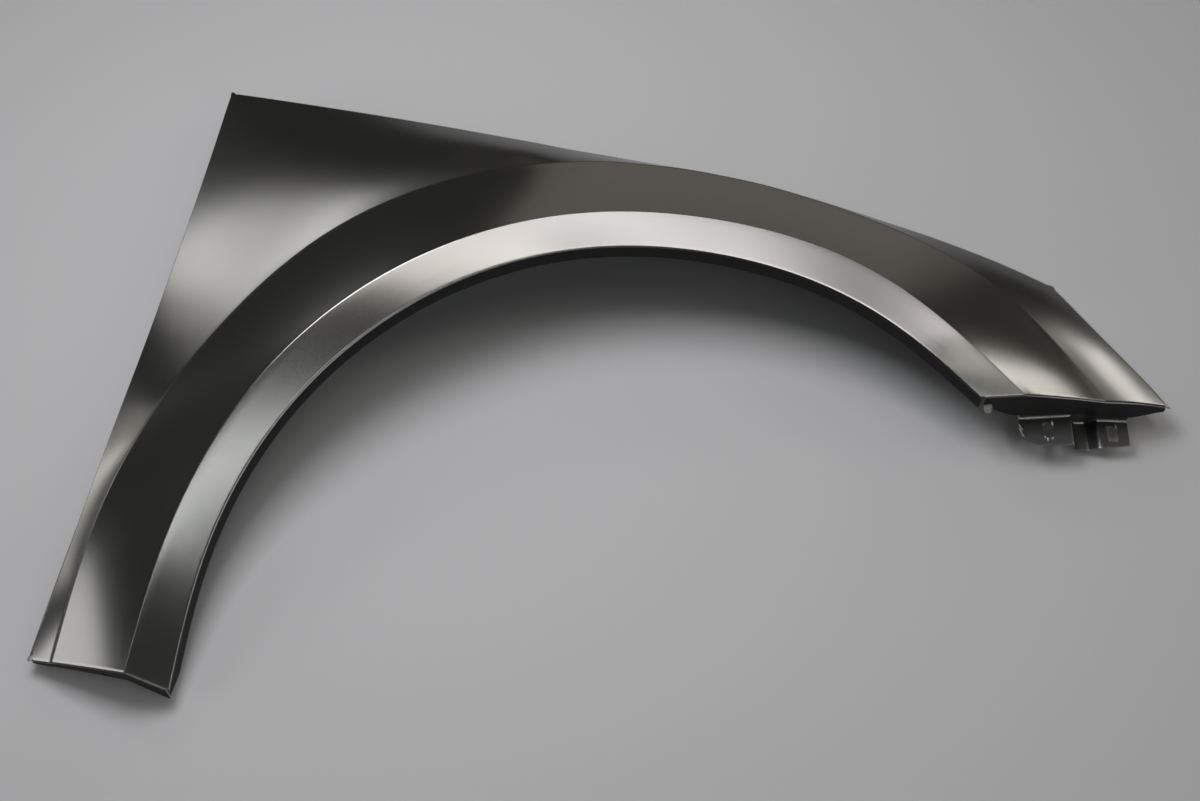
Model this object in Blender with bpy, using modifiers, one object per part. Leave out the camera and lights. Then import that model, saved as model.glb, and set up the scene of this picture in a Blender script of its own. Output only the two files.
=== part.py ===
# Right front fender of a passenger car, a single steel pressing with a bumper bracket behind its
# front lower flange.  It lies outer face up, as the photograph shows it.
# +X points to the front of the car, +Y to the car's roof, +Z out of the car's side.
# Units are metres.
import math

import bmesh
import bpy
import numpy as np
from mathutils import Matrix, Vector

for old in list(bpy.data.objects):
    bpy.data.objects.remove(old, do_unlink=True)
for old in list(bpy.data.collections):
    bpy.data.collections.remove(old)

# Driving dimensions
PANEL_LENGTH = 0.8810         # rear edge to front tip
PANEL_RISE = 0.1268           # height of the flare's ridge over the floor
SHEET = 0.0008                # steel of the pressing
LIP_FLANGE = 0.014            # return flange under the wheel arch lip
LIP_RUN_OUT = 0.020           # length over which that flange grows from the rear foot
LIP_BEND = 0.0022             # outer radius of that bend
RIM_BEND = 0.0030             # outer radius of the bends round the rest of the rim
DOOR_FLANGE = 0.014           # return flange beside the door
HEADLIGHT_FLANGE = 0.015      # return flange beside the headlight
SILL_FLANGE = 0.0180          # flange over the sill, beside the wheel arch
SILL_FLANGE_REAR = 0.0040     # the same flange at the rear corner
FLANGE_RUN_OUT = 0.022        # length over which a flange grows from an outer corner
LEDGE_WIDTH = 0.022           # bolting ledge at the foot of the bonnet wall
LEDGE_NECK = 0.011            # the same ledge between its bolts
CREASE_FILLET = 0.0012        # half width of the ridge's rounding
CREASE_FILLET_REAR = 0.0055   # the same rounding at the rear foot
STEP_DROP = 0.0018            # drop at the flare's foot, over the rear leg
STEP_RUN = 0.0016             # width of that step
# Dip of the panel beside the flare's foot: degrees round the wheel centre, depth in mm
HOLLOW = ((66, 0), (80, 1.6), (95, 3.9), (108, 5.6), (125, 1.8), (142, 0.3), (160, -2.4), (178, 2.4))
HOLLOW_REACH = 0.022          # how fast that dip fades upwards
STEP_FILLET = 0.0020          # rounding before and after the step
SHOULDER = 0.0100             # the same rounding where it fades out over the wheel
NOTCH = 0.0045                # relief at a corner between two flanges
TONGUE = 0.0070               # clip tongue at the front end of the arch lip
TONGUE_WIDTH = 0.0065         # the same tongue along the flange
LEDGE_HOLE = 0.0045           # radius of a bonnet ledge bolt hole
SILL_HOLE = 0.0024            # radius of a sill flange screw hole
BRACKET_SHEET = 0.0015        # steel of the bumper bracket
BRACKET_BEND = 0.0030         # inner radius of the bracket's bend
BRACKET_LAP = 0.0110          # how far the bracket's web laps the flange
WELD_GAP = 0.0003             # gap between two welded sheets
SLOT_WIDTH = 0.0090           # slot in a bracket tab
SLOT_LENGTH = 0.0142          # the same slot, end to end

PLAN = PANEL_LENGTH / 0.8810
RISE = PANEL_RISE / 0.1268


# Curves through a few control points

def smooth(knots, values, at):
    """Natural cubic spline through values at knots."""
    x = np.asarray(knots, float)
    y = np.asarray(values, float)
    if y.ndim == 1:
        return smooth(x, y[:, None], at)[:, 0]
    n = len(x)
    h = np.diff(x)
    a = np.zeros((n, n))
    b = np.zeros((n, y.shape[1]))
    a[0, 0] = 1.0
    a[-1, -1] = 1.0
    for i in range(1, n - 1):
        a[i, i - 1] = h[i - 1]
        a[i, i] = 2.0 * (h[i - 1] + h[i])
        a[i, i + 1] = h[i]
        b[i] = 6.0 * ((y[i + 1] - y[i]) / h[i] - (y[i] - y[i - 1]) / h[i - 1])
    m = np.linalg.solve(a, b)
    t = np.clip(np.asarray(at, float), x[0], x[-1])
    k = np.clip(np.searchsorted(x, t, side="right") - 1, 0, n - 2)
    left = (x[k + 1] - t)[:, None]
    right = (t - x[k])[:, None]
    w = h[k][:, None]
    cubic = (m[k] * left ** 3 + m[k + 1] * right ** 3) / (6.0 * w)
    return cubic + (y[k] / w - m[k] * w / 6.0) * left + (y[k + 1] / w - m[k + 1] * w / 6.0) * right


def along(points, marks, counts, inset):
    """Points spaced evenly by length in each stretch between marked control points of a curve,
    with one more point close to each end of a stretch."""
    pts = np.asarray(points, float)
    chord = np.concatenate([[0.0], np.cumsum(np.linalg.norm(np.diff(pts, axis=0), axis=1))])
    fine = np.linspace(0.0, chord[-1], 1601)
    curve = smooth(chord, pts, fine)
    length = np.concatenate([[0.0], np.cumsum(np.linalg.norm(np.diff(curve, axis=0), axis=1))])
    stops = np.interp(np.interp(marks, range(len(chord)), chord), fine, length)
    at = []
    for k, count in enumerate(counts):
        span = list(np.linspace(stops[k], stops[k + 1], count + 1))
        at.extend([span[0], span[0] + inset] + span[1:-1] + [span[-1] - inset])
    at.append(stops[-1])
    return np.stack([np.interp(at, length, curve[:, c]) for c in range(3)], axis=1)


def unit(v):
    return v / np.maximum(np.linalg.norm(v, axis=-1, keepdims=True), 1e-12)


def polar(rows):
    """Control points (degrees round the wheel centre, radius mm, height mm) as metres."""
    deg, radius, height = np.asarray(rows, float).T
    turn = np.radians(deg)
    p = np.stack([radius * np.cos(turn), radius * np.sin(turn), height], axis=1) * 0.001
    return p * np.array([PLAN, PLAN, RISE])


def plain(rows):
    """Control points (forward mm, up mm, height mm from the wheel centre) as metres."""
    p = np.asarray(rows, float) * 0.001
    return p * np.array([PLAN, PLAN, RISE])


# Guide curves of the outer surface, from the rear foot over the wheel arch to the front tip.
# Each is cut into a door part, a bonnet part and a headlight part.

DOOR_STEPS = 17
BONNET_STEPS = 30
LAMP_STEPS = 5
COUNTS = (DOOR_STEPS, BONNET_STEPS, LAMP_STEPS)

lip_guide = polar([(177.2, 352.5, 21), (160, 350, 52), (140, 349, 89), (120, 347, 112), (100, 348, 115.5),
                   (80, 347.5, 109), (60, 346.5, 97.5), (51, 346, 86.5), (42.4, 350.5, 70)])
ridge_guide = polar([(176.5, 381.5, 46.5), (160, 377, 71), (140, 376, 106.5), (120, 374, 126),
                     (100, 377, 123.5), (80, 377.5, 114), (60, 376.5, 102.5), (49.5, 373, 91),
                     (39, 378, 71.5)])
foot_guide = polar([(175, 443.5, 25.5), (160, 438.5, 57), (140, 441.5, 84.5), (120, 448.5, 103),
                    (105, 440.5, 113.5), (92, 432.5, 111.5), (78, 426, 104.5), (64, 428.5, 92),
                    (48, 434.5, 76), (41, 431.5, 68), (33.6, 432, 57.5)])
door_guide = plain([(-463, 44, 17.5), (-456, 71.5, 22), (-433.5, 146.5, 40), (-414, 216, 54.5),
                    (-396.5, 275.5, 68), (-384, 331.5, 72), (-366.5, 442.5, 67), (-357, 552, 47.5)])
bonnet_guide = plain([(-357, 552, 47.5), (-205.5, 508.5, 67.5), (-84.5, 470, 83.5), (4, 445.5, 89.5),
                      (91, 426, 88.5), (175.5, 401.5, 81), (263, 377, 65.5), (334, 352.5, 48)])
lamp_guide = plain([(334, 352.5, 48), (367.5, 308.5, 45), (407.5, 263.5, 33.5), (418, 248.5, 32.5)])

lip = along(lip_guide, (0, 2.5, 7.1, 8), COUNTS, NOTCH)
ridge = along(ridge_guide, (0, 2.45, 7, 8), COUNTS, NOTCH)
foot = along(foot_guide, (0, 2.4, 8.2, 10), COUNTS, NOTCH)
door = along(door_guide, (0, 7), (DOOR_STEPS,), NOTCH)
bonnet = along(bonnet_guide, (0, 7), (BONNET_STEPS,), NOTCH)
lamp = along(lamp_guide, (0, 3), (LAMP_STEPS,), NOTCH)
rim = np.concatenate([door, bonnet[1:], lamp[1:]])
AT_B = len(door) - 1
AT_C = AT_B + len(bonnet) - 1
COLUMNS = len(rim)

# Where the flare's foot has its step, and where it fades into a soft shoulder over the wheel
station = np.degrees(np.arctan2(foot[:, 1], foot[:, 0]))
stepped = np.clip((station - 95.0) / 40.0, 0.0, 1.0)
stepped = STEP_DROP * stepped ** 2 * (3.0 - 2.0 * stepped)
soft = np.exp(-((station - 79.0) / 13.0) ** 2)
hollow = smooth(*zip(*HOLLOW), station) * 0.001
blunt = np.clip((station - 150.0) / 22.0, 0.0, 1.0)


# The outer surface, row by row from the wheel arch lip to the rim

def between(p, q, t):
    return p + (q - p) * t


def fillet(p, mid, q, steps):
    """Rounded corner from p over mid to q, with q left out."""
    return [p * (1 - t) ** 2 + mid * 2 * t * (1 - t) + q * t * t for t in np.arange(steps) / steps]


def kernel(p, q):
    return np.linalg.norm(p[:, None, :2] - q[None, :, :2], axis=2) ** 3


# One smooth height field carries the panel from the flare's foot to the outline.  It follows the
# guides' heights and evens them out, and both edges of the panel are laid on it.
CROWN = 0.37
EASE = 0.00003
picks = np.unique(np.linspace(0, COLUMNS - 1, 56).astype(int))
mids = np.unique(np.linspace(2, COLUMNS - 3, 20).astype(int))
shoulder = foot.copy()
shoulder[:, 2] -= stepped
middle = between(shoulder[mids], rim[mids], 0.5)
middle[:, 2] = between(shoulder[mids, 2], rim[mids, 2], CROWN)
control = np.concatenate([shoulder[picks], rim[picks], middle])
control = control[np.unique(np.round(control[:, :2], 6), axis=0, return_index=True)[1]]
count = len(control)
flat = np.concatenate([np.ones((count, 1)), control[:, :2]], axis=1)
eased = kernel(control, control) + EASE * np.eye(count)
system = np.block([[eased, flat], [flat.T, np.zeros((3, 3))]])
weights = np.linalg.solve(system, np.concatenate([control[:, 2], np.zeros(3)]))


def laid(p):
    """The same points with their heights on the field."""
    q = p.copy()
    q[:, 2] = kernel(p, control) @ weights[:-3] + weights[-3] + p[:, :2] @ weights[-2:]
    return q


shoulder = laid(shoulder)
shoulder[:, 2] -= hollow
rim = laid(rim)
foot[:, 2] = shoulder[:, 2] + stepped
across = rim - foot
across[:, 2] = 0.0
span = np.linalg.norm(across, axis=1, keepdims=True)


def upper(t):
    """Panel between the flare's foot and the rim, at the share t of the way."""
    p = laid(foot + across * t)
    p[:, 2] -= hollow * np.exp(-(t * span)[:, 0] / HOLLOW_REACH)
    return p


# Rows: wheel arch lip, ridge, flare, step at the flare's foot, panel
rows = [lip + unit(ridge - lip) * LIP_BEND, lip + unit(ridge - lip) * NOTCH]
rows += [lip + unit(ridge - lip) * (NOTCH + TONGUE_WIDTH), between(lip, ridge, 0.65)]
rounding = (CREASE_FILLET + (CREASE_FILLET_REAR - CREASE_FILLET) * blunt)[:, None]
before = ridge + unit(lip - ridge) * rounding
after = ridge + unit(foot - ridge) * rounding
rows += [before, 0.25 * before + 0.5 * ridge + 0.25 * after, after]
widen = (STEP_FILLET + (SHOULDER - STEP_FILLET) * soft)[:, None]
foot_in = foot + unit(ridge - foot) * widen
for t in (0.34, 0.68):
    p = between(after, foot_in, t)
    p[:, 2] += 0.0012 * 4.0 * t * (1.0 - t)
    rows.append(p)
t_step = np.minimum(STEP_RUN / span, 0.1)
t_out = np.minimum((STEP_RUN + widen) / span, 0.3)
t_notch = np.maximum(1.0 - NOTCH / span, t_out + 0.2)
bottom = upper(t_step)
middle = between(foot, bottom, 0.5)
rows += fillet(foot_in, foot, middle, 2)
rows += fillet(middle, bottom, upper(t_out), 2)
for t in (0.0, 0.25, 0.5, 0.75, 1.0):
    rows.append(upper(t_out + (t_notch - t_out) * t))
rows.append(upper(np.maximum(1.0 - RIM_BEND / span, 0.7 * t_notch + 0.3)))
skin = np.stack(rows, axis=1)
ROWS = skin.shape[1]

# The outline itself, where the flanges hang
edge_foot = skin[0].copy()
edge_tip = skin[-1].copy()
skin[0] = edge_foot + unit(skin[1] - edge_foot) * RIM_BEND
skin[-1] = edge_tip + unit(skin[-2] - edge_tip) * RIM_BEND
# The skin runs out to the corners beside the bonnet, where no flange hangs
for k in (AT_B, AT_C):
    skin[k, -1] = rim[k]


# Building a pressing as one open surface

class Sheet:
    def __init__(self):
        self.points = []
        self.faces = []

    def add(self, p):
        self.points.append(tuple(float(c) for c in p))
        return len(self.points) - 1

    def grid(self, p):
        return [[self.add(q) for q in row] for row in p]

    def skin_cells(self, ids, flip=False):
        for i in range(len(ids) - 1):
            for j in range(len(ids[i]) - 1):
                quad = (ids[i][j], ids[i][j + 1], ids[i + 1][j + 1], ids[i + 1][j])
                self.faces.append(quad[::-1] if flip else quad)

    def hang(self, ids, lines, flip=False):
        """Strip of cells from an edge already in the mesh through further lines of points."""
        last = list(ids)
        for line in lines:
            new = [self.add(q) for q in line]
            for k in range(len(last) - 1):
                quad = (last[k], last[k + 1], new[k + 1], new[k])
                self.faces.append(quad[::-1] if flip else quad)
            last = new
        return last

    def solid(self, name, thickness, material, collection):
        mesh = bpy.data.meshes.new(name)
        mesh.from_pydata(self.points, [], self.faces)
        mesh.update()
        obj = bpy.data.objects.new(name, mesh)
        collection.objects.link(obj)
        mod = obj.modifiers.new("thickness", "SOLIDIFY")
        mod.thickness = thickness
        mod.offset = -1.0
        mod.use_even_offset = True
        mod.use_quality_normals = True
        obj.data.materials.append(material)
        return obj


def bend_down(top, corner, radius, steps=3):
    """Rounded bend from a surface point over the corner to straight below it."""
    end = corner.copy()
    end[..., 2] -= radius
    out = []
    for k in range(1, steps + 1):
        t = k / steps
        out.append(top * (1 - t) ** 2 + corner * 2 * t * (1 - t) + end * t * t)
    return out


def lowered(p, z):
    q = p.copy()
    q[..., 2] = z
    return q


def group(name):
    c = bpy.data.collections.new(name)
    bpy.context.scene.collection.children.link(c)
    return c


def principled(name, colour, rough, metal):
    mat = bpy.data.materials.new(name)
    mat.use_nodes = True
    shader = mat.node_tree.nodes["Principled BSDF"]
    shader.inputs["Base Color"].default_value = (*colour, 1.0)
    shader.inputs["Roughness"].default_value = rough
    shader.inputs["Metallic"].default_value = metal
    return mat


part = group("car_fender")
cutters = group("cutters")

# Fender panel: the pressing with all its flanges

panel = Sheet()
ids = panel.grid(skin)
panel.skin_cells(ids, flip=True)

# Wheel arch return flange
lines = bend_down(skin[:, 0], lip, LIP_BEND)
from_end = np.linalg.norm(lip - lip[0], axis=1)
hang = LIP_BEND * 1.6 + (LIP_FLANGE - LIP_BEND * 1.6) * np.clip(from_end / LIP_RUN_OUT, 0.0, 1.0)
lines.append(lowered(lip, lip[:, 2] - LIP_BEND - (hang - LIP_BEND) * 0.5))
lines.append(lowered(lip, lip[:, 2] - hang))
panel.hang([row[0] for row in ids], lines, flip=True)

# Door return flange
picks = list(range(0, AT_B))
lines = bend_down(skin[picks, -1], rim[picks], RIM_BEND)
from_end = np.linalg.norm(rim[picks] - rim[0], axis=1)
hang = RIM_BEND * 1.2 + (DOOR_FLANGE - RIM_BEND * 1.2) * np.clip(from_end / FLANGE_RUN_OUT, 0.0, 1.0)
foot_line = lowered(rim[picks], rim[picks, 2] - hang)
foot_line[:, 2] = np.maximum(foot_line[:, 2], 0.0012 * RISE + SHEET)
lines.append(foot_line)
panel.hang([ids[i][-1] for i in picks], lines)

# Bonnet wall down to the bolting ledge that the part rests on
picks = list(range(AT_B + 1, AT_C))
run = unit(np.gradient(rim[AT_B:AT_C + 1, :2], axis=0))[1:-1]
outward = np.stack([-run[:, 1], run[:, 0], np.zeros(len(run))], axis=1)
outward *= np.sign(outward[:, 1:2])
lines = bend_down(skin[picks, -1], rim[picks], RIM_BEND)
ledge_top = SHEET
for t in (0.5, 1.0):
    lines.append(lowered(rim[picks], (rim[picks, 2] - RIM_BEND) * (1 - t) + (ledge_top + RIM_BEND) * t))
corner = lowered(rim[picks], ledge_top)
for k in (1, 2):
    t = k / 2
    lines.append(lines[4] * (1 - t) ** 2 + corner * 2 * t * (1 - t) + (corner + outward * RIM_BEND) * t * t)
slots = np.concatenate([[0.0], np.cumsum(np.linalg.norm(np.diff(rim[picks], axis=0), axis=1))])
slots /= slots[-1]
BOLTS = (0.045, 0.28, 0.52, 0.75, 0.955)
near = np.min(np.abs(slots[:, None] - np.array(BOLTS)[None, :]), axis=1)
grow = np.clip((0.085 - near) / 0.035, 0.0, 1.0)[:, None]
reach = LEDGE_NECK + (LEDGE_WIDTH - LEDGE_NECK) * grow
lines.append(corner + outward * reach * 0.6)
lines.append(corner + outward * reach)
panel.hang([ids[i][-1] for i in picks], lines)

# Headlight return flange
picks_lamp = list(range(AT_C + 1, COLUMNS))
lines = bend_down(skin[picks_lamp, -1], rim[picks_lamp], RIM_BEND)
from_end = np.linalg.norm(rim[picks_lamp] - rim[-1], axis=1)
hang = RIM_BEND * 1.2 + (HEADLIGHT_FLANGE - RIM_BEND * 1.2) * np.clip(from_end / FLANGE_RUN_OUT, 0.0, 1.0)
foot_line = lowered(rim[picks_lamp], rim[picks_lamp, 2] - hang)
foot_line[:, 2] = np.maximum(foot_line[:, 2], 0.006 * RISE)
lines.append(foot_line)
panel.hang([ids[i][-1] for i in picks_lamp], lines)

# Sill flange under the rear foot
span_rows = list(range(1, ROWS - 1))
edge = edge_foot[span_rows]
lines = bend_down(skin[0, span_rows], edge, RIM_BEND)
along_sill = np.linalg.norm(edge - edge[0], axis=1) / np.linalg.norm(edge[-1] - edge[0])
depth = SILL_FLANGE + (SILL_FLANGE_REAR - SILL_FLANGE) * along_sill
depth = np.maximum(depth, RIM_BEND * 1.2)
lines.append(lowered(edge, np.maximum(edge[:, 2] - depth, 0.0)))
panel.hang([ids[0][j] for j in span_rows], lines)

# Bumper flange under the front edge, deepest beside the wheel arch
edge = edge_tip[span_rows]
skirt = plain([(256, 238, 58), (270, 239.7, 58), (273, 239.8, 46), (290, 240.5, 35), (345, 243.5, 32),
               (362, 244.5, 25), (389, 244.5, 23.5), (413, 247, 29), (426.5, 249.5, 29)])


def skirt_at(x):
    return np.stack([x, np.interp(x, skirt[:, 0], skirt[:, 1]), np.interp(x, skirt[:, 0], skirt[:, 2])], axis=-1)


low = skirt_at(edge[:, 0])
low[:, 2] = np.minimum(low[:, 2], edge[:, 2] - RIM_BEND * 1.6)
flange_foot = low
top = skin[-1, span_rows]
start = edge.copy()
start += unit(low - edge) * RIM_BEND
lines = []
for k in (1, 2, 3):
    t = k / 3
    lines.append(top * (1 - t) ** 2 + edge * 2 * t * (1 - t) + start * t * t)
lines.append(between(start, low, 0.5))
lines.append(low)
last = panel.hang([ids[-1][j] for j in span_rows], lines, flip=True)

# Clip tongue, bent forward out of the bumper flange beside the arch lip
base = low[:2]
middle = base.mean(axis=0)
lines = []
for ahead, down, wide in ((0.1, 0.0016, 1.0), (0.35, 0.0024, 1.0), (0.75, 0.0030, 1.0), (1.0, 0.0034, 0.5)):
    lines.append(middle + (base - middle) * wide + np.array([0.0, -TONGUE * ahead, -down]))
panel.hang(last[:2], lines, flip=True)

steel = principled("panel_primer", (0.012, 0.012, 0.013), 0.3, 0.0)
fender = panel.solid("fender_panel", SHEET, steel, part)

# Bumper bracket: a web welded behind the flange, two slotted tabs and a joggle between them

BRACKET_X = np.array([297, 299, 302, 307.5, 320, 334, 339, 342, 345, 350, 355, 359, 362.5, 366, 375, 387])
BRACKET_X = BRACKET_X * 0.001 * PLAN
TAB_X = plain([(297, 0, 28), (339, 0, 28), (345, 0, 9), (355, 0, 9), (362.5, 0, 16), (387, 0, 16)])
tab_z = np.interp(BRACKET_X, TAB_X[:, 0], TAB_X[:, 2])
FRONT = plain([(297, 233, 0), (299, 226, 0), (307.5, 218, 0), (339, 218.5, 0), (345, 223.5, 0), (355, 223, 0),
               (363, 221, 0), (387, 223.5, 0)])
front_y = np.interp(BRACKET_X, FRONT[:, 0], FRONT[:, 1])
low = np.stack([np.interp(BRACKET_X, edge[:, 0], line) for line in flange_foot.T], axis=1)
top = np.stack([np.interp(BRACKET_X, edge[:, 0], line) for line in edge.T], axis=1)
slope = (top[:, 1] - low[:, 1]) / (top[:, 2] - low[:, 2])
behind = (SHEET + WELD_GAP) * 1.06


def web(z):
    """Front face of the web at height z: the plane of the flange, set back by its sheet."""
    y = low[:, 1] + slope * (z - low[:, 2]) + behind
    return np.stack([BRACKET_X, y, z * np.ones(len(y))], axis=1)


web_top = np.minimum(low[:, 2] + BRACKET_LAP, top[:, 2] - 2.2 * RIM_BEND)
strip = [web(web_top), web(low[:, 2]), web(tab_z + BRACKET_BEND)]
corner = web(tab_z)
ahead = corner.copy()
ahead[:, 1] -= BRACKET_BEND
for k in (1, 2, 3):
    t = k / 3
    strip.append(strip[2] * (1 - t) ** 2 + corner * 2 * t * (1 - t) + ahead * t * t)
end = ahead.copy()
end[:, 1] = front_y
end[:, 1] = np.minimum(end[:, 1], ahead[:, 1] - 0.0015)
strip.append(between(ahead, end, 0.5))
strip.append(end)
bracket = Sheet()
bracket.skin_cells(bracket.grid(np.stack(strip, axis=0)), flip=True)
steel_bracket = principled("bracket_primer", (0.02, 0.02, 0.021), 0.35, 0.0)
holder = bracket.solid("bumper_bracket", BRACKET_SHEET, steel_bracket, part)


# Holes, each cut by a drill that runs well past both faces

def drill(name, centre, axis, radius, depth, stretch=0.0, segments=24):
    """Round or slotted cutter; a slot is stretched along the car's height."""
    bm = bmesh.new()
    half_step = Matrix.Rotation(math.pi / segments, 4, "Z")
    bmesh.ops.create_cone(bm, cap_ends=True, segments=segments, radius1=radius, radius2=radius,
                          depth=2.0 * depth, matrix=half_step)
    for v in bm.verts:
        v.co.y += math.copysign(stretch / 2, v.co.y)
    mesh = bpy.data.meshes.new(name)
    bm.to_mesh(mesh)
    bm.free()
    obj = bpy.data.objects.new(name, mesh)
    cutters.objects.link(obj)
    obj.location = centre
    obj.rotation_euler = Vector(axis).to_track_quat("Z", "Y").to_euler()
    obj.hide_render = True
    obj.display_type = "WIRE"
    return obj


def cut(obj, tool):
    mod = obj.modifiers.new(tool.name, "BOOLEAN")
    mod.operation = "DIFFERENCE"
    mod.solver = "EXACT"
    mod.object = tool


up = np.array([0.0, 0.0, 1.0])
bolt_holes = []
for k, where in enumerate(BOLTS):
    at = np.array([np.interp(where, slots, corner_line) for corner_line in lowered(rim[picks], ledge_top).T])
    out = np.array([np.interp(where, slots, line) for line in outward.T])
    bolt_holes.append(at + out * LEDGE_WIDTH * 0.58)
    cut(fender, drill("ledge_drill_%d" % (k + 1), bolt_holes[-1], up, LEDGE_HOLE, 0.004))

sill = edge_foot[span_rows]
for k, where in enumerate((0.20, 0.44)):
    at = np.array([np.interp(where, along_sill, line) for line in sill.T])
    ahead = np.array([np.interp(where + 0.08, along_sill, line) for line in sill.T])
    face = np.cross(unit(ahead - at), up)
    at[2] -= (RIM_BEND + np.interp(where, along_sill, depth)) / 2
    cut(fender, drill("sill_drill_%d" % (k + 1), at, face, SILL_HOLE, 0.004))

tab_left = plain([(320, 231, 28)])[0]
tab_right = plain([(374.5, 234, 16)])[0]
for k, at in enumerate((tab_left, tab_right)):
    cut(holder, drill("tab_drill_%d" % (k + 1), at, up, SLOT_WIDTH / 2, 0.005, SLOT_LENGTH - SLOT_WIDTH))

# Seat the part: bounding box centred over the origin, lowest point on the floor

bpy.context.view_layer.update()
graph = bpy.context.evaluated_depsgraph_get()
lows = []
highs = []
for obj in (fender, holder):
    shape = obj.evaluated_get(graph).to_mesh()
    co = np.empty(len(shape.vertices) * 3)
    shape.vertices.foreach_get("co", co)
    co = co.reshape(-1, 3)
    lows.append(co.min(axis=0))
    highs.append(co.max(axis=0))
    obj.evaluated_get(graph).to_mesh_clear()
low = np.min(lows, axis=0)
high = np.max(highs, axis=0)
shift = np.array([-(low[0] + high[0]) / 2, -(low[1] + high[1]) / 2, -low[2]])
for obj in list(part.objects) + list(cutters.objects):
    obj.location = obj.location + Vector(shift)
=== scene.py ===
# A right front fender in black dip primer, lying outer face up on a pale grey studio floor.
import math

import bmesh
import bpy
import numpy as np
from mathutils import Matrix, Vector


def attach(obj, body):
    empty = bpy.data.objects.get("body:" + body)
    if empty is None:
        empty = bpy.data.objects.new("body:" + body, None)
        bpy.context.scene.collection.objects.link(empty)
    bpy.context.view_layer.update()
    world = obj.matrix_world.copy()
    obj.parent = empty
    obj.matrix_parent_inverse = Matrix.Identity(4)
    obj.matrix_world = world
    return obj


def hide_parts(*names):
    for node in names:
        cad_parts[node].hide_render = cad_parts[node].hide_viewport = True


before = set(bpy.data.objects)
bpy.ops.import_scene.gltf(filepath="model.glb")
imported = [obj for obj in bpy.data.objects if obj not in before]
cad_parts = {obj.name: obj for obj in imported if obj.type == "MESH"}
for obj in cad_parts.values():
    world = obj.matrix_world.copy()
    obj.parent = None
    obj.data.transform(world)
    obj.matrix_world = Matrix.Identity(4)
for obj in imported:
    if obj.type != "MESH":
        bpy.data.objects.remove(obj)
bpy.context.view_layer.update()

# Fender panel.  One deep-drawn pressing of 0.8 mm steel, trimmed and flanged all round, with
# punched bolt holes, dipped in satin black primer.  The skin is a loft between the arch lip, the
# flare's ridge, the flare's foot and the outline, placed from the wheel centre.

WHEEL = np.array([0.02250, -0.29462, 0.0])
SHEET = 0.0008
LIP_FLANGE = 0.014
LIP_BEND = 0.0022
RIM_BEND = 0.0030
NOTCH = 0.0045


def smooth(knots, values, at):
    """Natural cubic spline through values at knots."""
    x = np.asarray(knots, float)
    y = np.asarray(values, float)
    if y.ndim == 1:
        return smooth(x, y[:, None], at)[:, 0]
    n = len(x)
    h = np.diff(x)
    a = np.zeros((n, n))
    b = np.zeros((n, y.shape[1]))
    a[0, 0] = 1.0
    a[-1, -1] = 1.0
    for i in range(1, n - 1):
        a[i, i - 1] = h[i - 1]
        a[i, i] = 2.0 * (h[i - 1] + h[i])
        a[i, i + 1] = h[i]
        b[i] = 6.0 * ((y[i + 1] - y[i]) / h[i] - (y[i] - y[i - 1]) / h[i - 1])
    m = np.linalg.solve(a, b)
    t = np.clip(np.asarray(at, float), x[0], x[-1])
    k = np.clip(np.searchsorted(x, t, side="right") - 1, 0, n - 2)
    left = (x[k + 1] - t)[:, None]
    right = (t - x[k])[:, None]
    w = h[k][:, None]
    cubic = (m[k] * left ** 3 + m[k + 1] * right ** 3) / (6.0 * w)
    return cubic + (y[k] / w - m[k] * w / 6.0) * left + (y[k + 1] / w - m[k + 1] * w / 6.0) * right


def along(points, marks, counts, inset):
    """Points spaced evenly by length in each stretch of a smooth curve, one close to each end."""
    pts = np.asarray(points, float)
    chord = np.concatenate([[0.0], np.cumsum(np.linalg.norm(np.diff(pts, axis=0), axis=1))])
    fine = np.linspace(0.0, chord[-1], 6001)
    curve = smooth(chord, pts, fine)
    length = np.concatenate([[0.0], np.cumsum(np.linalg.norm(np.diff(curve, axis=0), axis=1))])
    stops = np.interp(np.interp(marks, range(len(chord)), chord), fine, length)
    at = []
    for k, count in enumerate(counts):
        at.extend([stops[k] + inset * f for f in (0.0, 0.35, 0.7)])
        at.extend(np.linspace(stops[k] + inset, stops[k + 1] - inset, count + 1))
        at.extend([stops[k + 1] - inset * f for f in (0.7, 0.35)])
    at.append(stops[-1])
    return smooth(length[::12], curve[::12], at)


def unit(v):
    return v / np.maximum(np.linalg.norm(v, axis=-1, keepdims=True), 1e-12)


def polar(rows):
    """Degrees round the wheel centre, radius in mm, height in mm."""
    deg, radius, height = np.asarray(rows, float).T
    turn = np.radians(deg)
    return np.stack([radius * np.cos(turn), radius * np.sin(turn), height], axis=1) * 0.001


def plain(rows):
    return np.asarray(rows, float) * 0.001


COUNTS = (120, 210, 44)
# A program fitted most of these points and of HOLLOW to one picture, and rounded them.
lip_guide = polar([(177.2, 352.5, 21), (160, 350, 52), (140, 349, 89), (120, 347, 112), (100, 348, 115.5),
                   (80, 347.5, 109), (60, 346.5, 97.5), (51, 346, 86.5), (42.4, 350.5, 70)])
ridge_guide = polar([(176.5, 381.5, 46.5), (160, 377, 71), (140, 376, 106.5), (120, 374, 126),
                     (100, 377, 123.5), (80, 377.5, 114), (60, 376.5, 102.5), (49.5, 373, 91),
                     (39, 378, 71.5)])
foot_guide = polar([(175, 443.5, 25.5), (160, 438.5, 57), (140, 441.5, 84.5), (120, 448.5, 103),
                    (105, 440.5, 113.5), (92, 432.5, 111.5), (78, 426, 104.5), (64, 428.5, 92),
                    (48, 434.5, 76), (41, 431.5, 68), (33.6, 432, 57.5)])
door_guide = plain([(-463, 44, 17.5), (-456, 71.5, 22), (-433.5, 146.5, 40), (-414, 216, 54.5),
                    (-396.5, 275.5, 68), (-384, 331.5, 72), (-366.5, 442.5, 67), (-357, 552, 47.5)])
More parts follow.
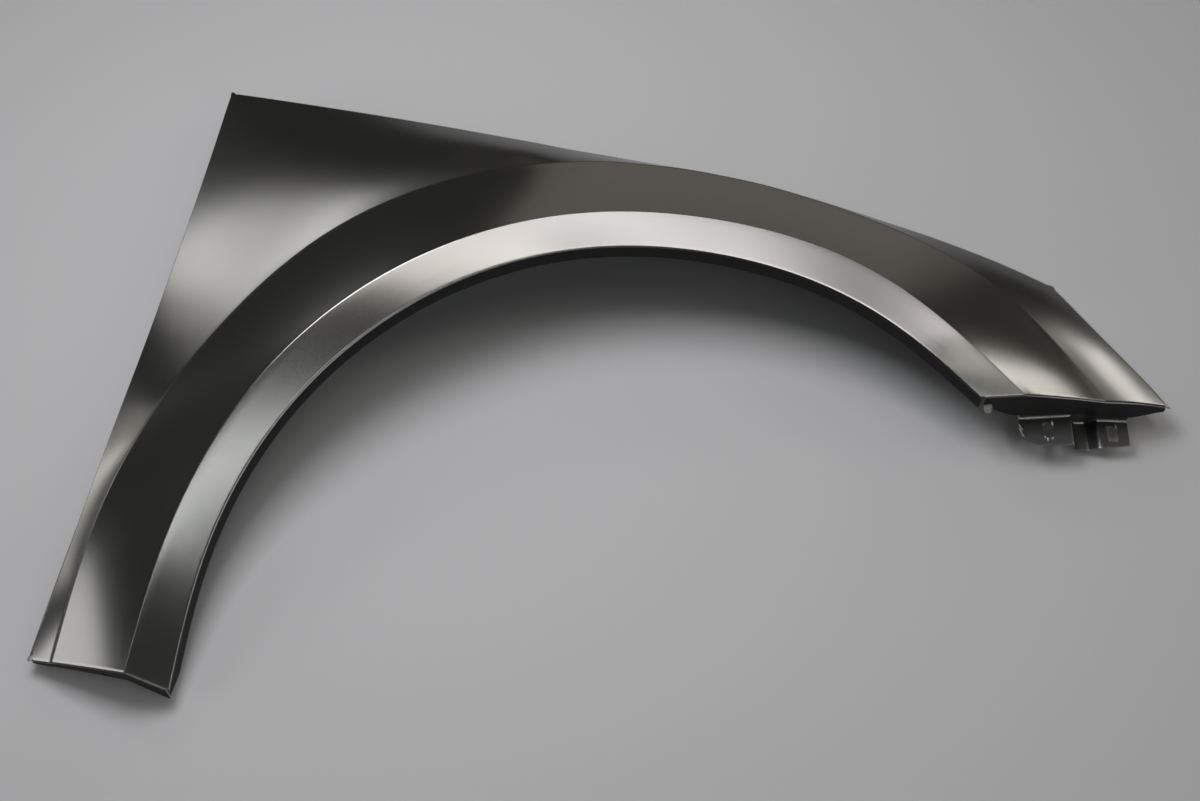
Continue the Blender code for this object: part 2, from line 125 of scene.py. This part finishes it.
bonnet_guide = plain([(-357, 552, 47.5), (-205.5, 508.5, 67.5), (-84.5, 470, 83.5), (4, 445.5, 89.5),
                      (91, 426, 88.5), (175.5, 401.5, 81), (263, 377, 65.5), (334, 352.5, 48)])
lamp_guide = plain([(334, 352.5, 48), (367.5, 308.5, 45), (407.5, 263.5, 33.5), (418, 248.5, 32.5)])

lip = along(lip_guide, (0, 2.5, 7.1, 8), COUNTS, NOTCH)
ridge = along(ridge_guide, (0, 2.45, 7, 8), COUNTS, NOTCH)
foot = along(foot_guide, (0, 2.4, 8.2, 10), COUNTS, NOTCH)
door = along(door_guide, (0, 7), COUNTS[:1], NOTCH)
bonnet = along(bonnet_guide, (0, 7), COUNTS[1:2], NOTCH)
lamp = along(lamp_guide, (0, 3), COUNTS[2:], NOTCH)
rim = np.concatenate([door, bonnet[1:], lamp[1:]])
AT_B = len(door) - 1
AT_C = AT_B + len(bonnet) - 1
COLUMNS = len(rim)
station = np.degrees(np.arctan2(foot[:, 1], foot[:, 0]))
STEP_DROP = 0.0018
HOLLOW = ((66, 0), (80, 1.6), (95, 3.9), (108, 5.6), (125, 1.8), (142, 0.3), (160, -2.4), (178, 2.4))
HOLLOW_REACH = 0.022
stepped = np.clip((station - 95.0) / 40.0, 0.0, 1.0)
stepped = STEP_DROP * stepped ** 2 * (3.0 - 2.0 * stepped)
soft = np.exp(-((station - 79.0) / 13.0) ** 2)
hollow = smooth(*zip(*HOLLOW), station) * 0.001
blunt = np.clip((station - 150.0) / 22.0, 0.0, 1.0)


def between(p, q, t):
    return p + (q - p) * t


def fillet(p, mid, q, count):
    """Rounded corner from p over mid to q, both ends left out."""
    return [p * (1 - t) ** 2 + mid * 2 * t * (1 - t) + q * t * t for t in np.arange(1, count) / count]


def kernel(p, q):
    return np.linalg.norm(p[:, None, :2] - q[None, :, :2], axis=2) ** 3


# One smooth height field carries the panel from the flare's foot to the outline
CROWN = 0.37
EASE = 0.00003
picks = np.unique(np.linspace(0, COLUMNS - 1, 56).astype(int))
mids = np.unique(np.linspace(2, COLUMNS - 3, 20).astype(int))
shoulder = foot.copy()
shoulder[:, 2] -= stepped
middle = between(shoulder[mids], rim[mids], 0.5)
middle[:, 2] = between(shoulder[mids, 2], rim[mids, 2], CROWN)
control = np.concatenate([shoulder[picks], rim[picks], middle])
control = control[np.unique(np.round(control[:, :2], 6), axis=0, return_index=True)[1]]
flat = np.concatenate([np.ones((len(control), 1)), control[:, :2]], axis=1)
eased = kernel(control, control) + EASE * np.eye(len(control))
system = np.block([[eased, flat], [flat.T, np.zeros((3, 3))]])
weights = np.linalg.solve(system, np.concatenate([control[:, 2], np.zeros(3)]))


def laid(p):
    """The same points with their heights on the field."""
    q = p.copy()
    q[:, 2] = kernel(p, control) @ weights[:-3] + weights[-3] + p[:, :2] @ weights[-2:]
    return q


shoulder = laid(shoulder)
shoulder[:, 2] -= hollow
rim = laid(rim)
foot[:, 2] = shoulder[:, 2] + stepped
across = rim - foot
across[:, 2] = 0.0
span = np.linalg.norm(across, axis=1, keepdims=True)


def upper(t):
    """Panel between the flare's foot and the rim, at the share t of the way."""
    p = laid(foot + across * t)
    p[:, 2] -= hollow * np.exp(-(t * span)[:, 0] / HOLLOW_REACH)
    return p


CREASE_FILLET = 0.0007
CREASE_FILLET_REAR = 0.0004
STEP_RUN = 0.0016
STEP_FILLET = 0.0020
SHOULDER = 0.0100
TONGUE_WIDTH = 0.0065
NOTCH_ROWS = 4
rows = []
for t in np.linspace(LIP_BEND, NOTCH, NOTCH_ROWS):
    rows.append(lip + unit(ridge - lip) * t)
rows.append(lip + unit(ridge - lip) * (NOTCH + TONGUE_WIDTH))
LIP_BAND = (0.42, 0.8)
for t in np.linspace(*LIP_BAND, 4):
    rows.append(between(lip, ridge, t))
rounding = (CREASE_FILLET + (CREASE_FILLET_REAR - CREASE_FILLET) * blunt)[:, None]
before_ridge = ridge + unit(lip - ridge) * rounding
after_ridge = ridge + unit(foot - ridge) * rounding
rows.append(before_ridge)
rows.extend(fillet(before_ridge, ridge, after_ridge, 8))
widen = (STEP_FILLET + (SHOULDER - STEP_FILLET) * soft)[:, None]
foot_in = foot + unit(ridge - foot) * widen
FLARE_CROWN = 0.0012
FLARE_ROWS = 15
for t in np.linspace(0.0, 1.0, FLARE_ROWS):
    p = between(after_ridge, foot_in, t)
    p[:, 2] += FLARE_CROWN * 4.0 * t * (1.0 - t)
    rows.append(p)
t_step = np.minimum(STEP_RUN / span, 0.1)
t_out = np.minimum((STEP_RUN + widen) / span, 0.3)
t_notch = np.maximum(1.0 - NOTCH / span, t_out + 0.2)
t_rim = np.maximum(1.0 - RIM_BEND / span, 0.7 * t_notch + 0.3)
bottom = upper(t_step)
middle = between(foot, bottom, 0.5)
rows.extend(fillet(foot_in, foot, middle, 5) + [middle])
rows.extend(fillet(middle, bottom, upper(t_out), 5))
PANEL_ROWS = 25
for t in np.linspace(0.0, 1.0, PANEL_ROWS):
    rows.append(upper(between(t_out, t_notch, t)))
NOTCH_TAIL = 3
for k in range(1, NOTCH_TAIL + 1):
    rows.append(upper(between(t_notch, t_rim, k / NOTCH_TAIL)))
skin = np.stack(rows, axis=1)
ROWS = skin.shape[1]
edge_foot = skin[0].copy()
edge_tip = skin[-1].copy()
for k in range(3):
    inset = between(RIM_BEND, NOTCH, k / 3)
    skin[k] = edge_foot + unit(skin[3] - edge_foot) * inset
    skin[-1 - k] = edge_tip + unit(skin[-4] - edge_tip) * inset


def run_out(k):
    """How far the skin reaches into a corner, k points away from it."""
    return 1.0 - (abs(k) / NOTCH_TAIL) ** 4


# The skin runs out to all four corners, where no flange hangs: two beside the bonnet
for corner_at in (AT_B, AT_C):
    for at in range(corner_at - 2, corner_at + 3):
        skin[at, -1] = between(skin[at, -1], rim[at], run_out(at - corner_at))
# and two at the rear foot and the front tip
for end, edge, step in ((0, edge_foot, 1), (-1, edge_tip, -1)):
    for k in range(1, NOTCH_TAIL):
        at = end + step * k
        skin[end, -1 - k] = between(skin[end, -1 - k], edge[-1 - k], run_out(k))
        skin[at, -1] = between(skin[at, -1], rim[at], run_out(k))
    skin[end, -1] = rim[end]


class Sheet:
    """A pressing as one open surface: a grid of points with strips of cells hung from its edges."""

    def __init__(self):
        self.points = []
        self.faces = []

    def add(self, p):
        self.points.append(tuple(float(c) for c in p))
        return len(self.points) - 1

    def grid(self, p):
        return [[self.add(q) for q in row] for row in p]

    def cells(self, ids, flip=False):
        for i in range(len(ids) - 1):
            for j in range(len(ids[i]) - 1):
                quad = (ids[i][j], ids[i][j + 1], ids[i + 1][j + 1], ids[i + 1][j])
                self.faces.append(quad[::-1] if flip else quad)

    def hang(self, ids, lines, flip=False):
        last = list(ids)
        for line in lines:
            new = [self.add(q) for q in line]
            for k in range(len(last) - 1):
                quad = (last[k], last[k + 1], new[k + 1], new[k])
                self.faces.append(quad[::-1] if flip else quad)
            last = new
        return last

    def solid(self, name, thickness, material):
        mesh = bpy.data.meshes.new(name)
        mesh.from_pydata([tuple(np.array(p) + WHEEL) for p in self.points], [], self.faces)
        mesh.update()
        obj = bpy.data.objects.new(name, mesh)
        bpy.context.scene.collection.objects.link(obj)
        mod = obj.modifiers.new("thickness", "SOLIDIFY")
        mod.thickness = thickness
        mod.offset = -1.0
        mod.use_even_offset = True
        mod.use_quality_normals = True
        obj.data.materials.append(material)
        return obj


def bend_down(top, corner, radius, steps=6):
    """Rounded bend from a surface point over the corner to straight below it."""
    end = corner.copy()
    end[..., 2] -= radius
    out = fillet(top, corner, end, steps)
    out.append(end)
    return out


def lowered(p, z):
    q = p.copy()
    q[..., 2] = z
    return q


def steps_down(start, end, count):
    return [between(start, end, k / count) for k in range(1, count + 1)]


panel = Sheet()
ids = panel.grid(skin)
panel.cells(ids, flip=True)


def grown(edge, end, least, full, length):
    """Depth of a flange along an edge, shallow at the end and full from that length on."""
    share = np.clip(np.linalg.norm(edge - end, axis=1) / length, 0.0, 1.0)
    return least + (full - least) * share


LIP_RUN_OUT = 0.020
lines = bend_down(skin[:, 0], lip, LIP_BEND)
hang = grown(lip, lip[0], LIP_BEND * 1.6, LIP_FLANGE, LIP_RUN_OUT)
lines += steps_down(lines[-1], lowered(lip, lip[:, 2] - hang), 5)
panel.hang([row[0] for row in ids], lines, flip=True)

# Flanges stop short of the corners, so that folded sheets don't cross
CLEAR = 3
DOOR_FLANGE = 0.014
LEAST_FLANGE = RIM_BEND * 1.2
FLANGE_RUN_OUT = 0.022
DOOR_FLOOR_GAP = 0.0012
picks = list(range(CLEAR, AT_B - CLEAR + 1))
lines = bend_down(skin[picks, -1], rim[picks], RIM_BEND)
hang = grown(rim[picks], rim[0], LEAST_FLANGE, DOOR_FLANGE, FLANGE_RUN_OUT)
low = lowered(rim[picks], np.maximum(rim[picks, 2] - hang, DOOR_FLOOR_GAP + SHEET))
lines += steps_down(lines[-1], low, 4)
panel.hang([ids[i][-1] for i in picks], lines)

LEDGE_WIDTH = 0.022
LEDGE_NECK = 0.011
BOLTS = (0.045, 0.28, 0.52, 0.75, 0.955)
picks = list(range(AT_B + CLEAR, AT_C - CLEAR + 1))
run = unit(np.gradient(rim[AT_B:AT_C + 1, :2], axis=0))[CLEAR:-CLEAR]
outward = np.stack([-run[:, 1], run[:, 0], np.zeros(len(run))], axis=1)
outward *= np.sign(outward[:, 1:2])
lines = bend_down(skin[picks, -1], rim[picks], RIM_BEND)
foot_of_wall = lowered(rim[picks], SHEET + RIM_BEND)
lines += steps_down(lines[-1], foot_of_wall, 10)
corner = lowered(rim[picks], SHEET)
lines += fillet(foot_of_wall, corner, corner + outward * RIM_BEND, 5)
slots = np.concatenate([[0.0], np.cumsum(np.linalg.norm(np.diff(rim[picks], axis=0), axis=1))])
slots /= slots[-1]
near = np.min(np.abs(slots[:, None] - np.array(BOLTS)[None, :]), axis=1)
SCALLOP_START = 0.085
SCALLOP_RAMP = 0.035
grow = np.clip((SCALLOP_START - near) / SCALLOP_RAMP, 0.0, 1.0)[:, None]
grow = grow * grow * (3.0 - 2.0 * grow)
reach = LEDGE_NECK + (LEDGE_WIDTH - LEDGE_NECK) * grow
for t in (0.0, 0.2, 0.4, 0.6, 0.8, 1.0):
    lines.append(corner + outward * (RIM_BEND + (reach - RIM_BEND) * t))
panel.hang([ids[i][-1] for i in picks], lines)

HEADLIGHT_FLANGE = 0.015
HEADLIGHT_FLOOR_GAP = 0.006
picks_lamp = list(range(AT_C + CLEAR, COLUMNS - CLEAR))
lines = bend_down(skin[picks_lamp, -1], rim[picks_lamp], RIM_BEND)
hang = grown(rim[picks_lamp], rim[-1], LEAST_FLANGE, HEADLIGHT_FLANGE, FLANGE_RUN_OUT)
low = lowered(rim[picks_lamp], np.maximum(rim[picks_lamp, 2] - hang, HEADLIGHT_FLOOR_GAP))
lines += steps_down(lines[-1], low, 4)
panel.hang([ids[i][-1] for i in picks_lamp], lines)

SILL_FLANGE = 0.0180
SILL_FLANGE_REAR = 0.0040
span_rows = list(range(NOTCH_ROWS - 1, ROWS - NOTCH_TAIL))
edge = edge_foot[span_rows]
lines = bend_down(skin[0, span_rows], edge, RIM_BEND)
along_sill = np.linalg.norm(edge - edge[0], axis=1) / np.linalg.norm(edge[-1] - edge[0])
depth = SILL_FLANGE + (SILL_FLANGE_REAR - SILL_FLANGE) * along_sill
depth = np.maximum(depth, LEAST_FLANGE)
lines += steps_down(lines[-1], lowered(edge, np.maximum(edge[:, 2] - depth, 0.0)), 4)
panel.hang([ids[0][j] for j in span_rows], lines)

skirt = plain([(256, 238, 58), (270, 239.7, 58), (273, 239.8, 46), (290, 240.5, 35), (345, 243.5, 32),
               (362, 244.5, 25), (389, 244.5, 23.5), (413, 247, 29), (426.5, 249.5, 29)])


def skirt_at(x):
    y = np.interp(x, skirt[:, 0], skirt[:, 1])
    z = np.interp(x, skirt[:, 0], skirt[:, 2])
    return np.stack([x, y, z], axis=-1)


edge = edge_tip[span_rows]
low = skirt_at(edge[:, 0])
low[:, 2] = np.minimum(low[:, 2], edge[:, 2] - RIM_BEND * 1.6)
start = edge + unit(low - edge) * RIM_BEND
lines = fillet(skin[-1, span_rows], edge, start, 6) + [start] + steps_down(start, low, 6)
last = panel.hang([ids[-1][j] for j in span_rows], lines, flip=True)

# Clip tongue, bent forward out of the bumper flange beside the arch lip
TONGUE = 0.0070
base = low[:2]
middle = base.mean(axis=0)
lines = []
for ahead, down, wide in ((0.03, 0.0008, 1.0), (0.12, 0.0018, 1.0), (0.3, 0.0024, 1.0),
                          (0.6, 0.0028, 1.0), (0.75, 0.0030, 0.95), (0.88, 0.0032, 0.78),
                          (0.96, 0.0033, 0.55), (1.0, 0.0034, 0.3)):
    lines.append(middle + (base - middle) * wide + np.array([0.0, -TONGUE * ahead, -down]))
panel.hang(last[:2], lines, flip=True)


def primer(name, tint, rough, grain, shaded_upright_gloss):
    """Satin black dip primer: slight colour drift and fine orange peel."""
    mat = bpy.data.materials.new(name)
    mat.use_nodes = True
    tree = mat.node_tree
    shader = tree.nodes["Principled BSDF"]
    where = tree.nodes.new("ShaderNodeTexCoord")
    cloud = tree.nodes.new("ShaderNodeTexNoise")
    cloud.inputs["Scale"].default_value = 7.0
    cloud.inputs["Detail"].default_value = 4.0
    tree.links.new(where.outputs["Object"], cloud.inputs["Vector"])
    ramp = tree.nodes.new("ShaderNodeMix")
    ramp.data_type = "RGBA"
    ramp.inputs[6].default_value = (*[c * 0.85 for c in tint], 1.0)
    ramp.inputs[7].default_value = (*[c * 1.2 for c in tint], 1.0)
    tree.links.new(cloud.outputs["Fac"], ramp.inputs["Factor"])
    tree.links.new(ramp.outputs[2], shader.inputs["Base Color"])
    spread = tree.nodes.new("ShaderNodeMapRange")
    spread.inputs["To Min"].default_value = rough * 0.9
    spread.inputs["To Max"].default_value = rough * 1.1
    tree.links.new(cloud.outputs["Fac"], spread.inputs["Value"])
    peel = tree.nodes.new("ShaderNodeTexNoise")
    peel.inputs["Scale"].default_value = grain
    peel.inputs["Detail"].default_value = 2.0
    tree.links.new(where.outputs["Object"], peel.inputs["Vector"])
    bump = tree.nodes.new("ShaderNodeBump")
    bump.inputs["Strength"].default_value = 0.03
    bump.inputs["Distance"].default_value = 0.0004
    tree.links.new(peel.outputs["Fac"], bump.inputs["Height"])
    tree.links.new(bump.outputs["Normal"], shader.inputs["Normal"])
    shader.inputs["IOR"].default_value = 1.6
    # Upright faces such as the flanges get less gloss and more roughness: painted shade, standing in for
    # the shadowed floor they reflect
    upright = 0.28
    lying = 0.42
    facing = tree.nodes.new("ShaderNodeNewGeometry")
    height = tree.nodes.new("ShaderNodeSeparateXYZ")
    tree.links.new(facing.outputs["True Normal"], height.inputs["Vector"])
    painted_shade_gloss = tree.nodes.new("ShaderNodeMapRange")
    painted_shade_gloss.interpolation_type = "SMOOTHSTEP"
    painted_shade_gloss.inputs["From Min"].default_value = upright
    painted_shade_gloss.inputs["From Max"].default_value = lying
    painted_shade_gloss.inputs["To Min"].default_value = shaded_upright_gloss
    painted_shade_gloss.inputs["To Max"].default_value = 0.9
    tree.links.new(height.outputs["Z"], painted_shade_gloss.inputs["Value"])
    tree.links.new(painted_shade_gloss.outputs["Result"], shader.inputs["Specular IOR Level"])
    painted_shade_roughness = tree.nodes.new("ShaderNodeMapRange")
    painted_shade_roughness.inputs["From Min"].default_value = upright
    painted_shade_roughness.inputs["From Max"].default_value = lying
    painted_shade_roughness.inputs["To Min"].default_value = 0.6
    painted_shade_roughness.inputs["To Max"].default_value = 0.0
    tree.links.new(height.outputs["Z"], painted_shade_roughness.inputs["Value"])
    matt = tree.nodes.new("ShaderNodeMath")
    matt.operation = "MAXIMUM"
    tree.links.new(spread.outputs["Result"], matt.inputs[0])
    tree.links.new(painted_shade_roughness.outputs["Result"], matt.inputs[1])
    tree.links.new(matt.outputs["Value"], shader.inputs["Roughness"])
    return mat


panel_primer = primer("panel_primer", (0.002, 0.002, 0.002), 0.215, 900.0, 0.12)
fender = panel.solid("fender_skin", SHEET, panel_primer)
for face in fender.data.polygons:
    face.use_smooth = True


def drill(centre, axis, radius, depth, stretch=0.0, segments=40):
    """A cutter for a punched hole; a slot is stretched along the car's height."""
    mesh = bpy.data.meshes.new("drill")
    bm = bmesh.new()
    axis = unit(np.asarray(axis, float))
    side = unit(np.cross(axis, np.array([0.0, 1.0, 0.0])))
    other = np.cross(side, axis)
    ends = []
    for sign in (-1, 1):
        ring = []
        for k in range(segments):
            a = 2 * math.pi * (k + 0.5) / segments
            shift = math.copysign(stretch / 2, math.sin(a))
            p = centre + axis * sign * depth + side * radius * math.cos(a)
            p = p + other * (radius * math.sin(a) + shift)
            ring.append(bm.verts.new(tuple(p + WHEEL)))
        ends.append(ring)
    for k in range(segments):
        n = (k + 1) % segments
        bm.faces.new((ends[0][k], ends[0][n], ends[1][n], ends[1][k]))
    bm.faces.new(ends[0][::-1])
    bm.faces.new(ends[1])
    bmesh.ops.recalc_face_normals(bm, faces=bm.faces)
    bm.to_mesh(mesh)
    bm.free()
    return mesh


def punch(obj, meshes):
    """Cut all the drills out of obj and keep the result as its mesh."""
    bm = bmesh.new()
    for m in meshes:
        bm.from_mesh(m)
    joined = bpy.data.meshes.new("drills")
    bm.to_mesh(joined)
    bm.free()
    tool = bpy.data.objects.new("drills", joined)
    bpy.context.scene.collection.objects.link(tool)
    mod = obj.modifiers.new("holes", "BOOLEAN")
    mod.operation = "DIFFERENCE"
    mod.solver = "MANIFOLD"
    mod.object = tool
    bpy.context.view_layer.update()
    graph = bpy.context.evaluated_depsgraph_get()
    made = bpy.data.meshes.new_from_object(obj.evaluated_get(graph))
    obj.modifiers.clear()
    obj.data = made
    bpy.data.objects.remove(tool)


SHARP = math.radians(32)
LEDGE_HOLE = 0.0045
LEDGE_HOLE_PLACE = 0.58
SILL_HOLE = 0.0024
SILL_SCREWS = (0.20, 0.44)
DRILL_REACH = 0.004
up = np.array([0.0, 0.0, 1.0])
drills = []
for where in BOLTS:
    at = np.array([np.interp(where, slots, line) for line in corner.T])
    out = np.array([np.interp(where, slots, line) for line in outward.T])
    drills.append(drill(at + out * LEDGE_WIDTH * LEDGE_HOLE_PLACE, up, LEDGE_HOLE, DRILL_REACH))
sill = edge_foot[span_rows]
for where in SILL_SCREWS:
    at = np.array([np.interp(where, along_sill, line) for line in sill.T])
    ahead = np.array([np.interp(where + 0.08, along_sill, line) for line in sill.T])
    face = np.cross(unit(ahead - at), up)
    at[2] -= (RIM_BEND + np.interp(where, along_sill, depth)) / 2
    drills.append(drill(at, face, SILL_HOLE, DRILL_REACH))
punch(fender, drills)
fender.data.set_sharp_from_angle(angle=SHARP)
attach(fender, "root")
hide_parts("fender_panel")

# Bumper bracket.  A 1.5 mm strip folded into a web and two slotted tabs with a joggle between
# them, spot welded behind the bumper flange and dipped with the panel.

BRACKET_SHEET = 0.0015
BRACKET_BEND = 0.0030
BRACKET_LAP = 0.011
WELD_GAP = 0.0003
SLOT_WIDTH = 0.0090
SLOT_LENGTH = 0.0142
SLOT_DRILL_REACH = 0.005
base_x = np.array([297, 299, 307.5, 339, 345, 355, 362.5, 366, 387]) * 0.001
bracket_x = np.unique(np.concatenate([np.linspace(a, b, max(2, int((b - a) / 0.0008)))
                                      for a, b in zip(base_x[:-1], base_x[1:])]).round(6))
TAB_X = plain([(297, 0, 28), (339, 0, 28), (345, 0, 9), (355, 0, 9), (362.5, 0, 16), (387, 0, 16)])
tab_z = np.interp(bracket_x, TAB_X[:, 0], TAB_X[:, 2])
soften = np.exp(-np.linspace(-2, 2, 5) ** 2)
soften /= soften.sum()
tab_z = np.convolve(np.pad(tab_z, 2, mode="edge"), soften, mode="valid")
FRONT = plain([(297, 233, 0), (299, 226, 0), (307.5, 218, 0), (339, 218.5, 0),
               (345, 223.5, 0), (355, 223, 0), (363, 221, 0), (387, 223.5, 0)])
front_y = np.interp(bracket_x, FRONT[:, 0], FRONT[:, 1])
low = skirt_at(bracket_x)
top = np.stack([np.interp(bracket_x, edge[:, 0], edge[:, c]) for c in range(3)], axis=1)
slope = (top[:, 1] - low[:, 1]) / (top[:, 2] - low[:, 2])
behind = (SHEET + WELD_GAP) * 1.06


def web(z):
    """Front face of the web at height z: the flange's plane, set back by its sheet."""
    y = low[:, 1] + slope * (z - low[:, 2]) + behind
    return np.stack([bracket_x, y, z * np.ones(len(y))], axis=1)


web_top = np.minimum(low[:, 2] + BRACKET_LAP, top[:, 2] - 2.2 * RIM_BEND)
strip = [web(web_top)]
strip += steps_down(strip[-1], web(tab_z + BRACKET_BEND), 6)
corner = web(tab_z)
ahead = corner.copy()
ahead[:, 1] -= BRACKET_BEND
strip += fillet(strip[-1], corner, ahead, 6) + [ahead]
end = ahead.copy()
end[:, 1] = np.minimum(front_y, ahead[:, 1] - 0.0015)
strip += steps_down(ahead, end, 10)
bracket = Sheet()
bracket.cells(bracket.grid(np.stack(strip, axis=0)), flip=True)
bracket_primer = primer("bracket_primer", (0.005, 0.005, 0.0055), 0.26, 1200.0, 0.35)
# The dip is thin on the sheared edges, where bare steel shows through; the lighter edge colour is also a
# painted highlight along these edges
tree = bracket_primer.node_tree
shader = tree.nodes["Principled BSDF"]
dipped = shader.inputs["Base Color"].links[0].from_socket
curve = tree.nodes.new("ShaderNodeNewGeometry")
bare_and_glint_edges = tree.nodes.new("ShaderNodeMapRange")
bare_and_glint_edges.inputs["From Min"].default_value = 0.52
bare_and_glint_edges.inputs["From Max"].default_value = 0.68
tree.links.new(curve.outputs["Pointiness"], bare_and_glint_edges.inputs["Value"])
bare_and_glint = tree.nodes.new("ShaderNodeMix")
bare_and_glint.data_type = "RGBA"
bare_and_glint.inputs[7].default_value = (0.35, 0.35, 0.34, 1.0)
tree.links.new(bare_and_glint_edges.outputs["Result"], bare_and_glint.inputs["Factor"])
tree.links.new(dipped, bare_and_glint.inputs[6])
tree.links.new(bare_and_glint.outputs[2], shader.inputs["Base Color"])
holder = bracket.solid("bracket_strip", BRACKET_SHEET, bracket_primer)
punch(holder, [drill(plain(centre), up, SLOT_WIDTH / 2, SLOT_DRILL_REACH, SLOT_LENGTH - SLOT_WIDTH)
               for centre in ((320, 231, 28), (374.5, 234, 16))])
for face in holder.data.polygons:
    face.use_smooth = True
holder.data.set_sharp_from_angle(angle=SHARP)
bevel = holder.modifiers.new("edge", "BEVEL")
bevel.width = 0.0005
bevel.segments = 2
bevel.limit_method = "ANGLE"
bevel.angle_limit = math.radians(50)
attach(holder, "root")
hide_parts("bumper_bracket")

# Studio floor: a seamless sheet of matt grey paper, laid flat and wide enough to fill the view.
# It lies 0.2 mm below the fender's feet, so that no faces of the two coincide.

floor_mesh = bpy.data.meshes.new("floor")
floor_mesh.from_pydata([(-6, -5, 0), (6, -5, 0), (6, 8, 0), (-6, 8, 0)], [], [(0, 1, 2, 3)])
floor = bpy.data.objects.new("floor", floor_mesh)
bpy.context.scene.collection.objects.link(floor)
floor.location.z = -0.0002
paper = bpy.data.materials.new("paper")
paper.use_nodes = True
shader = paper.node_tree.nodes["Principled BSDF"]
shader.inputs["Base Color"].default_value = (0.176, 0.178, 0.185, 1.0)
shader.inputs["Roughness"].default_value = 0.9
shader.inputs["Specular IOR Level"].default_value = 0.2
# Beyond the reach of the lamps the paper keeps its level, and lights nothing itself
tree = paper.node_tree
place = tree.nodes.new("ShaderNodeNewGeometry")
away_from_part = tree.nodes.new("ShaderNodeVectorMath")
away_from_part.operation = "LENGTH"
tree.links.new(place.outputs["Position"], away_from_part.inputs[0])
fade = tree.nodes.new("ShaderNodeMapRange")
fade.interpolation_type = "SMOOTHSTEP"
fade.inputs["From Min"].default_value = 2.3
fade.inputs["From Max"].default_value = 4.0
fade.inputs["To Max"].default_value = 0.28
tree.links.new(away_from_part.outputs["Value"], fade.inputs["Value"])
seen = tree.nodes.new("ShaderNodeLightPath")
level = tree.nodes.new("ShaderNodeMath")
level.operation = "MULTIPLY"
tree.links.new(fade.outputs["Result"], level.inputs[0])
tree.links.new(seen.outputs["Is Camera Ray"], level.inputs[1])
shader.inputs["Emission Color"].default_value = (0.97, 0.98, 1.0, 1.0)
tree.links.new(level.outputs["Value"], shader.inputs["Emission Strength"])
floor.data.materials.append(paper)

# Studio light and camera: soft lamps round a faintly lit room, and one camera looking down at
# 62 degrees.  Most lamps' places began as a program's fit to one picture, like the guides above.

scene = bpy.context.scene
world = bpy.data.worlds.new("studio")
scene.world = world
world.use_nodes = True
room = world.node_tree.nodes["Background"]
room.inputs["Color"].default_value = (0.91, 0.93, 0.75, 1.0)
room.inputs["Strength"].default_value = 0.06
# The camera sees the backdrop in the paper's grey
tree = world.node_tree
backdrop = tree.nodes.new("ShaderNodeBackground")
backdrop.inputs["Color"].default_value = (0.34, 0.343, 0.35, 1.0)
chosen = tree.nodes.new("ShaderNodeMixShader")
seen = tree.nodes.new("ShaderNodeLightPath")
tree.links.new(seen.outputs["Is Camera Ray"], chosen.inputs[0])
tree.links.new(room.outputs[0], chosen.inputs[1])
tree.links.new(backdrop.outputs[0], chosen.inputs[2])
tree.links.new(chosen.outputs[0], tree.nodes["World Output"].inputs["Surface"])
MIDDLE = Vector((0.0, 0.0, 0.05))


def softbox(name, toward, away, size, radiance, colour=(1.0, 1.0, 1.0), turn=0.0):
    """Diffuser, width level and height upright, in a direction from the part and aimed at it."""
    data = bpy.data.lights.new(name, "AREA")
    data.shape = "RECTANGLE"
    data.size = size[0]
    data.size_y = size[1]
    data.energy = radiance * math.pi * size[0] * size[1]
    data.color = colour
    obj = bpy.data.objects.new(name, data)
    scene.collection.objects.link(obj)
    ray = Vector(toward).normalized()
    obj.location = MIDDLE + ray * away
    side = Vector((-ray.y, ray.x, 0.0)).normalized()
    side.rotate(Matrix.Rotation(math.radians(turn), 4, ray))
    obj.rotation_euler = Matrix((side, ray.cross(side), ray)).transposed().to_euler()


softbox("overhead", (0.225, 0.09, 0.97), 1.7, (0.88, 0.28), 10.0, (1.0, 0.95, 0.955))
softbox("overhead_front", (0.165, -0.157, 0.974), 4.5, (0.63, 2.0), 10.0, (1.0, 0.95, 0.88), -22.0)
softbox("key", (-0.28, 0.15, 0.95), 1.1, (0.5, 0.5), 26.0)
softbox("front_right", (0.376, -0.545, 0.749), 1.7, (0.7, 0.13), 13.0, (0.98, 1.0, 0.95))
softbox("left_low", (-0.89, -0.27, 0.30), 1.7, (0.8, 0.66), 5.0, (1.0, 0.99, 0.98))
softbox("left_edge", (-0.955, 0.283, 0.09), 2.9, (0.7, 0.3), 4.0, (1.0, 0.98, 0.9))
softbox("left_mid", (-0.904, 0.397, 0.157), 4.1, (0.95, 1.95), 1.3, (1.0, 0.98, 0.9))
softbox("back_left", (-0.507, 0.60, 0.618), 3.4, (0.9, 0.56), 7.4, (1.0, 0.99, 0.95))
softbox("right_high", (0.717, 0.125, 0.686), 1.7, (0.09, 0.63), 19.0, (1.0, 0.967, 0.866), -140.0)
softbox("right_back", (0.855, 0.485, 0.19), 2.3, (0.42, 0.56), 6.2, (1.0, 0.96, 0.88))
softbox("right_low", (0.78, -0.60, 0.20), 3.0, (2.2, 0.45), 6.0, (0.97, 0.98, 1.0))
softbox("front", (0.45, -0.85, 0.28), 3.2, (3.2, 0.9), 1.0, (1.0, 0.98, 0.96))
softbox("back", (0.244, 0.82, 0.518), 4.5, (3.4, 3.4), 0.7, (1.0, 0.93, 0.80))

camera_data = bpy.data.cameras.new("camera")
camera_data.lens = 50.0
camera_data.sensor_width = 36.0
camera = bpy.data.objects.new("camera", camera_data)
scene.collection.objects.link(camera)
TILT = math.radians(28.0)
DISTANCE = 1.36465
AIM = np.array([-0.0356, 0.2725, 0.0]) + WHEEL
camera.location = AIM + DISTANCE * np.array([0.0, -math.sin(TILT), math.cos(TILT)])
camera.rotation_euler = (TILT, 0.0, 0.0)
scene.camera = camera
scene.view_settings.view_transform = "Standard"
